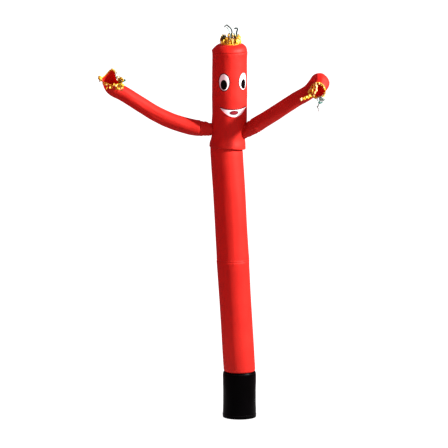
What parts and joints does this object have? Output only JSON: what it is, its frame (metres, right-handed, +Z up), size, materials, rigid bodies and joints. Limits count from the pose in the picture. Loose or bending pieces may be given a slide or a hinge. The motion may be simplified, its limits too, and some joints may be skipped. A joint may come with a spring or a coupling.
{
  "type": "inflatable air dancer",
  "caption": "Tall fabric tube figure blown up from below, leaning slightly, with raised open-ended arms, ribbon fringes, a vented domed head and a smiling sewn-on face.",
  "frame": {"origin": "the middle of the bounding box, at the height of the sleeve's hem, which rests on the floor", "axes": "+Z up, -Y the way the figure looks, +X to a viewer's right"},
  "size_m": [1.8411, 0.6148, 3.1906],
  "materials": {
    "red_nylon": "satin coated ripstop nylon",
    "black_nylon": "satin heavy coated nylon",
    "white_nylon": "satin coated nylon",
    "rose_nylon": "satin coated nylon",
    "yellow_ribbon": "satin woven ribbon",
    "grey_green_tinsel": "metallised film strip"
  },
  "bodies": {
    "root": {"arm_left": "red_nylon", "arm_right": "red_nylon", "base_sleeve": "black_nylon", "eye_left": "white_nylon", "eye_right": "white_nylon", "hand_fringe_left": "yellow_ribbon", "hand_fringe_right": "yellow_ribbon", "hand_tinsel_left": "grey_green_tinsel", "hand_tinsel_right": "grey_green_tinsel", "head_top": "red_nylon", "lower_tube_a": "red_nylon", "lower_tube_b": "red_nylon", "mouth": "white_nylon", "pupil_left": "black_nylon", "pupil_right": "black_nylon", "shoulder_left": "red_nylon", "shoulder_right": "red_nylon", "tongue": "rose_nylon", "upper_tube": "red_nylon", "vent_fringe": "yellow_ribbon", "vent_tinsel": "grey_green_tinsel"}
  },
  "joints": []
}
